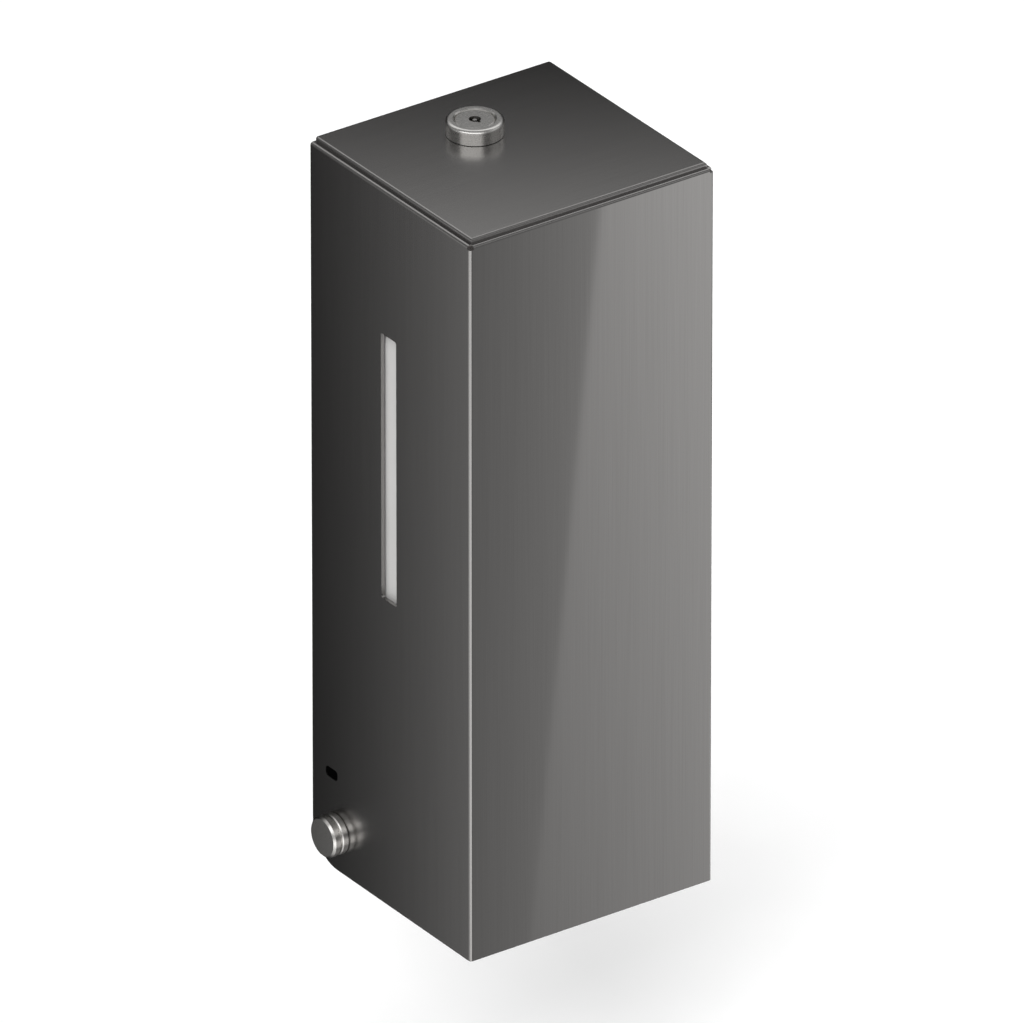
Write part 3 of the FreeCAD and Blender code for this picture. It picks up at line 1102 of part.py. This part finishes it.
def lead(name, route):
    """Round lead of straight runs joined by tangent arcs at right-angled corners."""
    points = [FreeCAD.Vector(*(number(text) for text in point)) for point in route]
    bend = number("lead_bend")
    edges, start = [], points[0]
    for before, corner, after in zip(points, points[1:], points[2:]):
        inwards = (before - corner).normalize()
        outwards = (after - corner).normalize()
        arc_start, arc_end = corner + inwards * bend, corner + outwards * bend
        centre = corner + (inwards + outwards) * bend
        middle = centre - (inwards + outwards).normalize() * bend
        edges.append(Part.LineSegment(start, arc_start).toShape())
        edges.append(Part.Arc(arc_start, middle, arc_end).toShape())
        start = arc_end
    edges.append(Part.LineSegment(start, points[-1]).toShape())
    direction = (points[1] - points[0]).normalize()
    section = Part.Wire(Part.makeCircle(number("lead_radius"), points[0], direction))
    item = document.addObject("Part::Feature", name)
    item.Shape = Part.Wire(edges).makePipeShell([section], True, False)
    return item


def make_wiring():
    """Leads from the board to the battery box, the motor and the sensor board."""
    board_back = "board_thickness - board_setback"
    connector_y = "-(board_setback + connector_depth / 2)"
    connector_z = ("(deck_rise + deck_thickness + board_boss + connector_rise + connector_height / 2"
                   " - cover_drop)")
    motor_end = f"({LEFT_FRAME_X} - motor_length)"
    loop_x = f"({motor_end} - lead_loop)"
    sensor_top = ("(tray_bottom_rise + tray_thickness + sensor_lip / 2 + diode_length + board_thickness"
                  " - cover_drop)")
    across_z, down_x = "(lead_cross_rise - cover_drop)", "(lead_edge - sensor_width / 2)"
    keep(group("lead_group", [
        lead("battery_lead",
             [("connector_edge + 2 * connector_pitch + connector_width - board_left", connector_y,
               connector_z),
                              ("box_left", connector_y, connector_z)]),
        lead("motor_lead",
             [(motor_end, MOTOR_Y, GEAR_Z), (loop_x, MOTOR_Y, GEAR_Z), (loop_x, board_back, GEAR_Z)]),
        lead("sensor_lead",
             [(down_x, "-sensor_setback", sensor_top), (down_x, "-sensor_setback", across_z),
                             ("-lead_cross_x", "-sensor_setback", across_z),
                             ("-lead_cross_x", board_back, across_z)]),
    ]), "wiring_leads")


# ---- writing the sub-parts -----------------------------------------------------------------------

make_cover_shell()
make_top_plate()
make_top_plate_fasteners()
make_level_window()
make_port_plug()
make_lock()
make_striker()
make_wall_plate()
make_pivots()
make_chassis()
make_base_tray()
make_sensor()
make_bottle()
make_plunger()
make_pump_spring()
make_rack_yoke()
make_gears()
make_gear_frame()
make_batteries()
make_control_board()
make_wiring()

document.recompute()
for item in document.Objects:
    if "Invalid" in item.State or "Error" in item.State:
        raise ValueError(f"{item.Name} ({item.Label}) failed: {item.State}")
for item in sub_parts:
    if item.Shape.isNull() or not item.Shape.isValid() or not item.Shape.Solids:
        raise ValueError(f"{item.Label} has no valid solid")
for item in sub_parts:
    item.Shape.exportStep(f"parts/{item.Label}.step")
print(len(sub_parts), "sub-parts")
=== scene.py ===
import json
import math

import bmesh
import bpy
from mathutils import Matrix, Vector


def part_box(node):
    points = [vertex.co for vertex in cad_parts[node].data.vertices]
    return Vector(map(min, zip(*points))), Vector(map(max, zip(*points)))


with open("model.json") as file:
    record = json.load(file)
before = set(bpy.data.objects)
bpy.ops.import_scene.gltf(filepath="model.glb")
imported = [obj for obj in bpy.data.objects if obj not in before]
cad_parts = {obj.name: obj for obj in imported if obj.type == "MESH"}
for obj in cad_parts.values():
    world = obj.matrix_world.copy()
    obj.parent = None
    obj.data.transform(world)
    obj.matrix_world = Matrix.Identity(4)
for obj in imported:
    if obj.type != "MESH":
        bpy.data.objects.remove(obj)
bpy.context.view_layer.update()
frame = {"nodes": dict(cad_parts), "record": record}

MM = 0.001

# ---- the view -----------------------------------------------------------------------------
# The camera looks from the front left and above through a very long lens, almost without
# perspective.

VIEW_AZIMUTH = math.radians(35.12)
VIEW_ELEVATION = math.radians(28.2)
VIEW_DISTANCE = 10.816
VIEW_TARGET = Vector((-0.0006, -0.0527, 0.0))
LENS_MM = 1031.6
SENSOR_MM = 36.0
NEAREST_SHOWN = 0.1
FARTHEST_SHOWN = 100

TO_CAMERA = Vector((
    -math.sin(VIEW_AZIMUTH) * math.cos(VIEW_ELEVATION),
    -math.cos(VIEW_AZIMUTH) * math.cos(VIEW_ELEVATION),
    math.sin(VIEW_ELEVATION),
))


def make_camera():
    data = bpy.data.cameras.new("camera")
    data.lens = LENS_MM
    data.sensor_width = SENSOR_MM
    data.clip_start = NEAREST_SHOWN
    data.clip_end = FARTHEST_SHOWN
    camera = bpy.data.objects.new("camera", data)
    camera.location = VIEW_TARGET + TO_CAMERA * VIEW_DISTANCE
    camera.rotation_euler = TO_CAMERA.to_track_quat("Z", "Y").to_euler()
    bpy.context.scene.collection.objects.link(camera)
    bpy.context.scene.camera = camera


make_camera()

# ---- node helpers -------------------------------------------------------------------------


class Nodes:
    """A material under construction: short calls that add and join nodes."""

    def __init__(self, name):
        self.material = bpy.data.materials.new(name)
        self.material.use_nodes = True
        self.tree = self.material.node_tree
        self.shader = self.tree.nodes["Principled BSDF"]
        self.place = self.add("ShaderNodeTexCoord").outputs["Object"]

    def add(self, kind, **settings):
        node = self.tree.nodes.new(kind)
        for name, value in settings.items():
            setattr(node, name, value)
        return node

    def feed(self, socket, source):
        if isinstance(source, bpy.types.NodeSocket):
            self.tree.links.new(source, socket)
        else:
            socket.default_value = source

    def set(self, **values):
        for name, value in values.items():
            self.feed(self.shader.inputs[name.replace("_", " ")], value)

    def scaled(self, scale):
        mapping = self.add("ShaderNodeMapping")
        self.feed(mapping.inputs["Vector"], self.place)
        mapping.inputs["Scale"].default_value = scale
        return mapping.outputs["Vector"]

    def noise(self, scale, detail=3.0, roughness=0.55, stretch=(1, 1, 1)):
        node = self.add("ShaderNodeTexNoise")
        self.feed(node.inputs["Vector"], self.scaled(tuple(s * scale for s in stretch)))
        node.inputs["Scale"].default_value = 1.0
        node.inputs["Detail"].default_value = detail
        node.inputs["Roughness"].default_value = roughness
        return node.outputs["Fac"]

    def span(self, source, low, high, from_low=0.3, from_high=0.7):
        node = self.add("ShaderNodeMapRange")
        self.feed(node.inputs["Value"], source)
        node.inputs["From Min"].default_value = from_low
        node.inputs["From Max"].default_value = from_high
        node.inputs["To Min"].default_value = low
        node.inputs["To Max"].default_value = high
        return node.outputs["Result"]

    def mix_colour(self, factor, first, second):
        node = self.add("ShaderNodeMix", data_type="RGBA")
        self.feed(node.inputs["Factor"], factor)
        self.feed(node.inputs["A"], first)
        self.feed(node.inputs["B"], second)
        return node.outputs["Result"]

    def maths(self, operation, first, second=0.0):
        node = self.add("ShaderNodeMath", operation=operation)
        self.feed(node.inputs[0], first)
        self.feed(node.inputs[1], second)
        return node.outputs[0]

    def bump(self, height, distance, strength=1.0):
        node = self.add("ShaderNodeBump")
        self.feed(node.inputs["Height"], height)
        node.inputs["Distance"].default_value = distance
        node.inputs["Strength"].default_value = strength
        self.feed(self.shader.inputs["Normal"], node.outputs["Normal"])

    def shine(self, strength):
        """Replaces the surface with a plain glow of this strength."""
        emission = self.add("ShaderNodeEmission")
        self.feed(emission.inputs["Strength"], strength)
        output = next(node for node in self.tree.nodes if node.type == "OUTPUT_MATERIAL")
        self.tree.links.new(emission.outputs["Emission"], output.inputs["Surface"])


def rgb(*values):
    return tuple(values) + (1.0,)


# ---- materials ----------------------------------------------------------------------------
# Noise scales are in cycles per metre, bump distances in metres.

ALONG_Z = (1, 1, 0.004)
ALONG_X = (0.004, 1, 1)
NEARLY_ROUND = (1, 1, 0.2)
PVD_DARK = (0.29, 0.283, 0.277)
PVD_LIGHT = (0.312, 0.305, 0.299)

# brushing: bands are this many lines wide; FACING_ROOM is the range of the normal's y
PLAIN_STREAKS = 0.15
BAND_WIDTH = 14
BRUSHED_CLOUDS = 14
BRUSHED_CLOUD_GLOSS = 0.02
BRUSHED_DEPTH = 0.000002
FACING_ROOM = (-0.99, -0.9)

# turning
SPECK_SCALE = 900
SPECK_GLOSS = 0.01
RING_GLOSS = 0.02
RING_DEPTH = 0.000001

# moulded and milky plastics; SHADED is how dark the darker patches are
MOULDED_CLOUDS = 45
MOULDED_GLOSS = 0.07
FROST_SCALE = 1600
FROST_CLOUDS = 30
FROST_GLOSS = 0.06
FROST_DEPTH = 0.00003
PLASTIC_IOR = 1.49
SHADED = 0.94

# printed board
COPPER_SCALE = (380, 380, 380)
COPPER_GAP = 0.03
COPPER_AREAS = 300
COPPER_DEPTH = 0.00003


def brushed_metal(name, dark, light, roughness, stretch, line_scale=4200, bands=0.0,
                  streaks=PLAIN_STREAKS, front_roughness=None):
    """Metal with fine straight brushing: stretch makes the lines long along one axis.

    streaks is how much the gloss varies from line to line. front_roughness is for the faces
    turned to the room (-Y), which are polished more finely.
    """
    m = Nodes(name)
    lines = m.noise(line_scale, detail=2.0, stretch=stretch)
    wide = m.noise(line_scale / BAND_WIDTH, detail=2.0, stretch=stretch)
    clouds = m.noise(BRUSHED_CLOUDS, detail=2.0)
    tone = m.maths("ADD", m.span(lines, 0.0, 1.0), m.span(wide, -bands, bands))
    m.set(Base_Color=m.mix_colour(tone, rgb(*dark), rgb(*light)), Metallic=1.0)
    line_gloss = m.span(lines, 1.0 - streaks, 1.0 + streaks)
    cloud_gloss = m.span(clouds, -BRUSHED_CLOUD_GLOSS, BRUSHED_CLOUD_GLOSS)
    unevenness = m.maths("ADD", line_gloss, cloud_gloss)
    if front_roughness is None:
        m.set(Roughness=m.maths("MULTIPLY", unevenness, roughness))
    else:
        facing = m.add("ShaderNodeSeparateXYZ")
        m.feed(facing.inputs[0], m.add("ShaderNodeTexCoord").outputs["Normal"])
        gloss = m.span(facing.outputs["Y"], front_roughness, roughness, *FACING_ROOM)
        m.set(Roughness=m.maths("MULTIPLY", unevenness, gloss))
    m.bump(lines, BRUSHED_DEPTH, 0.1 * streaks / PLAIN_STREAKS)
    return m.material


def turned_metal(name, colour, roughness, axis, centre, ring_mm=0.22):
    """Metal turned on a lathe: fine rings about an axis through the centre."""
    m = Nodes(name)
    offset = m.add("ShaderNodeVectorMath", operation="SUBTRACT")
    m.feed(offset.inputs[0], m.place)
    offset.inputs[1].default_value = centre
    flat = m.add("ShaderNodeVectorMath", operation="MULTIPLY")
    m.feed(flat.inputs[0], offset.outputs[0])
    flat.inputs[1].default_value = tuple(1.0 - part for part in axis)
    reach = m.add("ShaderNodeVectorMath", operation="LENGTH")
    m.feed(reach.inputs[0], flat.outputs[0])
    turns = m.maths("MULTIPLY", reach.outputs["Value"], 2 * math.pi / (ring_mm * MM))
    wave = m.maths("SINE", turns)
    specks = m.noise(SPECK_SCALE, detail=3.0)
    m.set(Metallic=1.0)
    ring_gloss = m.span(wave, -RING_GLOSS, RING_GLOSS, -1, 1)
    speck_gloss = m.span(specks, roughness - SPECK_GLOSS, roughness + SPECK_GLOSS)
    m.set(Roughness=m.maths("ADD", ring_gloss, speck_gloss))
    shade = tuple(SHADED * c for c in colour)
    m.set(Base_Color=m.mix_colour(m.span(specks, 0.0, 1.0), rgb(*shade), rgb(*colour)))
    m.bump(wave, RING_DEPTH, 0.1)
    return m.material


def moulded(name, colour, roughness, grain, depth=0.00004, metallic=0.0, variation=0.15,
            specular=0.5):
    """Moulded, cast or sleeved matter with a fine grain and slightly uneven gloss."""
    m = Nodes(name)
    texture = m.noise(grain, detail=4.0)
    clouds = m.noise(MOULDED_CLOUDS, detail=3.0)
    dark = tuple(c * (1 - variation) for c in colour)
    light = tuple(min(1.0, c * (1 + variation)) for c in colour)
    m.set(Base_Color=m.mix_colour(m.span(clouds, 0.0, 1.0), rgb(*dark), rgb(*light)))
    m.set(Roughness=m.span(texture, roughness - MOULDED_GLOSS, roughness + MOULDED_GLOSS))
    m.set(Metallic=metallic, Specular_IOR_Level=specular)
    m.bump(texture, depth, 0.4)
    return m.material


def frosted(name, colour, roughness, translucency):
    """Milky plastic that lets a little light through."""
    m = Nodes(name)
    grain = m.noise(FROST_SCALE, detail=3.0)
    clouds = m.noise(FROST_CLOUDS, detail=2.0)
    dim = tuple(c * SHADED for c in colour)
    m.set(Base_Color=m.mix_colour(m.span(clouds, 0.0, 1.0), rgb(*dim), rgb(*colour)))
    m.set(Roughness=m.span(grain, roughness - FROST_GLOSS, roughness + FROST_GLOSS))
    m.set(Transmission_Weight=translucency, IOR=PLASTIC_IOR)
    m.bump(grain, FROST_DEPTH, 0.3)
    return m.material


def circuit_board(name):
    """Green solder mask over a faint pattern of copper."""
    m = Nodes(name)
    brick = m.add("ShaderNodeTexBrick")
    m.feed(brick.inputs["Vector"], m.scaled(COPPER_SCALE))
    brick.inputs["Scale"].default_value = 1.0
    brick.inputs["Mortar Size"].default_value = COPPER_GAP
    cells = m.noise(COPPER_AREAS, detail=1.0)
    mask = m.maths("MULTIPLY", brick.outputs["Fac"], m.span(cells, 0.0, 1.0, 0.45, 0.55))
    m.set(Base_Color=m.mix_colour(mask, rgb(0.012, 0.09, 0.04), rgb(0.03, 0.2, 0.08)))
    m.set(Roughness=m.span(cells, 0.3, 0.42))
    m.bump(mask, COPPER_DEPTH, 0.5)
    return m.material


def middle_of(node_name):
    low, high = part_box(node_name)
    return tuple((low + high) / 2)


def make_materials():
    return {
        "pvd_steel": brushed_metal("pvd_steel", PVD_DARK, PVD_LIGHT, 0.24, ALONG_Z, bands=0.15,
                                   streaks=0.04, front_roughness=0.045),
        "pvd_steel_top": brushed_metal("pvd_steel_top", PVD_DARK, PVD_LIGHT, 0.24, ALONG_X,
                                       streaks=0.04),
        "zinc_steel": brushed_metal("zinc_steel", (0.4, 0.4, 0.39), (0.62, 0.62, 0.6), 0.32,
                                    NEARLY_ROUND, 2500),
        "stainless": brushed_metal("stainless", (0.36, 0.36, 0.36), (0.56, 0.56, 0.55), 0.34,
                                   ALONG_Z, 3000),
        "motor_steel": brushed_metal("motor_steel", (0.4, 0.4, 0.4), (0.55, 0.55, 0.55), 0.28,
                                     ALONG_X, 2500),
        "switch_steel": brushed_metal("switch_steel", (0.4, 0.4, 0.38), (0.55, 0.55, 0.53), 0.3,
                                      ALONG_X, 2500),
        "lock_metal": turned_metal("lock_metal", (0.68, 0.67, 0.65), 0.28, (0, 0, 1),
                                   middle_of("lock_housing")),
        "pivot_metal": turned_metal("pivot_metal", (0.76, 0.745, 0.72), 0.3, (1, 0, 0),
                                    middle_of("pivot_cap_left")),
        "brass": moulded("brass", (0.7, 0.5, 0.2), 0.25, 900, 0.00002, metallic=1.0),
        "frosted_window": frosted("frosted_window", (0.57, 0.565, 0.555), 0.35, 0.1),
        "bottle_plastic": frosted("bottle_plastic", (0.6, 0.62, 0.63), 0.42, 0.15),
        "black_rubber": moulded("black_rubber", (0.018, 0.018, 0.018), 0.7, 1200),
        "black_plastic": moulded("black_plastic", (0.03, 0.03, 0.032), 0.48, 1500),
        # port_black is partly the plug's own black and partly painted shade: an almost zero base
        # colour and no specular reflection at all make it as dark as an unlit opening.
        "port_black": moulded("port_black", (0.001, 0.001, 0.001), 0.7, 900, 0.00001,
                              specular=0.0),
        "ir_window": moulded("ir_window", (0.03, 0.006, 0.008), 0.14, 500, 0.00001),
        "circuit_board": circuit_board("circuit_board"),
        "white_plastic": moulded("white_plastic", (0.76, 0.76, 0.73), 0.4, 1300, 0.00003,
                                 variation=0.04),
        "grey_rubber": moulded("grey_rubber", (0.17, 0.17, 0.175), 0.55, 1000),
        "gear_plastic": moulded("gear_plastic", (0.78, 0.75, 0.66), 0.38, 1300, 0.00003,
                                variation=0.04),
        "battery_wrap": moulded("battery_wrap", (0.05, 0.09, 0.2), 0.25, 700, 0.00001),
        "chip_epoxy": moulded("chip_epoxy", (0.014, 0.014, 0.015), 0.55, 2500, 0.00003),
    }


MATERIALS = make_materials()
for sub_part in frame["record"]["subparts"]:
    node = frame["nodes"][sub_part["node"]]
    node.data.materials.clear()
    node.data.materials.append(MATERIALS[sub_part["material_slot"]])

# ---- studio -------------------------------------------------------------------------------
# Steel shows its surroundings, so each flat face has its own card: a glowing sheet that only
# reflections show. Tones are 8-bit display greys, as a constant and slopes per millimetre.

FLOOR_LEVEL = -0.26
FLOOR_SPECKS = 40
FLOOR_GLOW = 0.12
WORLD_GREY = 0.25
STEEL_REFLECTANCE = 0.3
DISPLAY_GAMMA = 2.2
SIDE_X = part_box("cover_shell")[0][0]
FRONT_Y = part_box("cover_shell")[0][1]
TOP_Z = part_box("top_plate")[1][2]
FACE_MIDDLE_Y = -0.0515

SIDE_TONE = {"constant": 34.0, "y": -0.47}
TOP_TONE = {"constant": 50.0, "x": -0.26, "y": -0.42}
FRONT_DIM_TONE = {"constant": 108.5, "x": 0.39}
FRONT_BRIGHT_TONE = {"constant": 122.3, "x": 0.27, "z": 0.067}
# millimetres to the right of the slanting edge of light on the front
PAST_LIGHT_EDGE = {"constant": 10.7, "x": 1.0, "z": -0.105}
LIGHT_EDGE_BLUR = 1.0

# name, elevation, first and last azimuth in degrees; distance and height in metres; strength
GLOW_ARCS = (
    ("edge_box", -28, 5, 105, 1.3, 0.7, 1.6),
    ("view_box", 28, 5, 93, 1.7, 0.8, 1.9),
    ("right_box", 28, -72, -28, 1.7, 0.8, 0.6),
    ("roof_box", 60, 0, 75, 1.7, 1.3, 0.45),
)
ARC_STEPS = 6
ARC_CLOUDS = 9
ARC_UNEVENNESS = 0.03

# name, position and diameter in metres, watts
LAMPS = (
    ("key_lamp", (-2.6, -2.4, 3.6), 4.2, 300),
    ("fill_lamp", (2.4, -2.6, 2.6), 3.6, 170),
)


def make_floor():
    mesh = bpy.data.meshes.new("studio_floor")
    shape = bmesh.new()
    bmesh.ops.create_grid(shape, x_segments=8, y_segments=8, size=6)
    shape.to_mesh(mesh)
    shape.free()
    floor = bpy.data.objects.new("studio_floor", mesh)
    floor.location.z = FLOOR_LEVEL
    bpy.context.scene.collection.objects.link(floor)
    m = Nodes("floor_paint")
    speck = m.noise(FLOOR_SPECKS, detail=4.0)
    m.set(Base_Color=m.mix_colour(speck, rgb(0.86, 0.86, 0.86), rgb(0.9, 0.9, 0.9)))
    m.set(Roughness=0.6)
    m.set(Emission_Color=rgb(1.0, 1.0, 1.0), Emission_Strength=FLOOR_GLOW)
    floor.data.materials.append(m.material)
    floor.visible_glossy = False


def make_world():
    world = bpy.data.worlds.new("studio")
    bpy.context.scene.world = world
    world.use_nodes = True
    background = world.node_tree.nodes["Background"]
    background.inputs["Color"].default_value = rgb(1.0, 1.0, 1.0)
    background.inputs["Strength"].default_value = WORLD_GREY


def studio_sheet(name, corners):
    """A flat sheet that only mirror-like reflections show; its mesh is in scene coordinates."""
    mesh = bpy.data.meshes.new(name)
    mesh.from_pydata([tuple(corner) for corner in corners], [], [(0, 1, 2, 3)])
    sheet = bpy.data.objects.new(name, mesh)
    sheet.visible_camera = False
    sheet.visible_diffuse = False
    sheet.visible_shadow = False
    sheet.visible_transmission = False
    bpy.context.scene.collection.objects.link(sheet)
    return sheet


class Card:
    """A glowing sheet that one flat face of the object mirrors towards the view.

    A point of the sheet lights the point of the face that mirrors it, so the glow is written
    with the face's own x, y and z in millimetres.
    """

    def __init__(self, name, normal, middle, distance, half_size):
        normal = Vector(normal)
        middle = Vector(middle)
        ray = 2 * TO_CAMERA.dot(normal) * normal - TO_CAMERA
        across = ray.cross(Vector((0, 0, 1))).normalized()
        along = ray.cross(across).normalized()
        centre = middle + ray * distance
        signs = ((-1, -1), (1, -1), (1, 1), (-1, 1))
        corners = [centre + across * (u * half_size) + along * (v * half_size) for u, v in signs]
        sheet = studio_sheet(name, corners)
        self.ray = ray
        self.normal = normal
        self.level = middle.dot(normal)
        self.nodes = Nodes(name + "_glow")
        sheet.data.materials.append(self.nodes.material)

    def linear(self, constant, x=0.0, y=0.0, z=0.0):
        """A value at the mirrored face point: a constant and slopes per millimetre of x, y, z."""
        slope = Vector((x, y, z)) / MM
        share = slope.dot(self.ray) / self.ray.dot(self.normal)
        weights = slope - self.normal * share
        dot = self.nodes.add("ShaderNodeVectorMath", operation="DOT_PRODUCT")
        self.nodes.feed(dot.inputs[0], self.nodes.place)
        dot.inputs[1].default_value = weights
        return self.nodes.maths("ADD", dot.outputs["Value"], constant + self.level * share)

    def glow(self, grey, darkest, brightest):
        """Shines so that steel of STEEL_REFLECTANCE shows the grey, an 8-bit display value."""
        m = self.nodes
        limited = m.maths("MINIMUM", m.maths("MAXIMUM", grey, darkest), brightest)
        tone = m.maths("DIVIDE", limited, 255.0)
        light = m.maths("DIVIDE", m.maths("POWER", tone, DISPLAY_GAMMA), STEEL_REFLECTANCE)
        m.shine(light)


def make_cards():
    """A dark side, a lighter front with a slanting edge of light, and a top between them."""
    side = Card("side_card", (-1, 0, 0), (SIDE_X, FACE_MIDDLE_Y, 0.0), distance=0.2, half_size=0.3)
    side.glow(side.linear(**SIDE_TONE), darkest=6.0, brightest=130.0)

    front = Card("front_card", (0, -1, 0), (0.0, FRONT_Y, 0.0), distance=0.4, half_size=0.24)
    m = front.nodes
    beyond = m.span(front.linear(**PAST_LIGHT_EDGE), 0.0, 1.0, -LIGHT_EDGE_BLUR, LIGHT_EDGE_BLUR)
    dim = front.linear(**FRONT_DIM_TONE)
    bright = front.linear(**FRONT_BRIGHT_TONE)
    step = m.maths("MULTIPLY", beyond, m.maths("SUBTRACT", bright, dim))
    front.glow(m.maths("ADD", dim, step), darkest=80.0, brightest=150.0)

    top = Card("top_card", (0, 0, 1), (0.0, FACE_MIDDLE_Y, TOP_Z), distance=0.25, half_size=0.3)
    top.glow(top.linear(**TOP_TONE), darkest=8.0, brightest=150.0)


def glow_arc(name, elevation, first, last, distance, height, strength):
    """A curved soft box that only reflections show; azimuths count from -Y towards -X."""
    rise = math.radians(elevation)
    for step in range(ARC_STEPS):
        ends = [first + (last - first) * part / ARC_STEPS for part in (step, step + 1)]
        corners = []
        for turn, tilt in ((ends[0], -1), (ends[1], -1), (ends[1], 1), (ends[0], 1)):
            angle = math.radians(turn)
            level = rise + tilt * height / distance / 2
            way = Vector((
                -math.sin(angle) * math.cos(level),
                -math.cos(angle) * math.cos(level),
                math.sin(level),
            ))
            corners.append(VIEW_TARGET + way * distance)
        sheet = studio_sheet(f"{name}_{step + 1}", corners)
        m = Nodes(f"{name}_{step + 1}_glow")
        weave = m.noise(ARC_CLOUDS, detail=2.0)
        m.shine(m.span(weave, (1 - ARC_UNEVENNESS) * strength, (1 + ARC_UNEVENNESS) * strength))
        sheet.data.materials.append(m.material)


def make_lamp(name, position, size, power):
    """A large soft lamp that lights matt surfaces and leaves no shape in reflections."""
    data = bpy.data.lights.new(name, "AREA")
    data.shape = "DISK"
    data.size = size
    data.energy = power
    lamp = bpy.data.objects.new(name, data)
    lamp.location = position
    lamp.rotation_euler = (Vector(position) - VIEW_TARGET).to_track_quat("Z", "Y").to_euler()
    lamp.visible_glossy = False
    lamp.visible_camera = False
    bpy.context.scene.collection.objects.link(lamp)


make_floor()
make_world()
make_cards()
for arc in GLOW_ARCS:
    glow_arc(*arc)
for lamp_settings in LAMPS:
    make_lamp(*lamp_settings)
bpy.context.scene.view_settings.view_transform = "Standard"
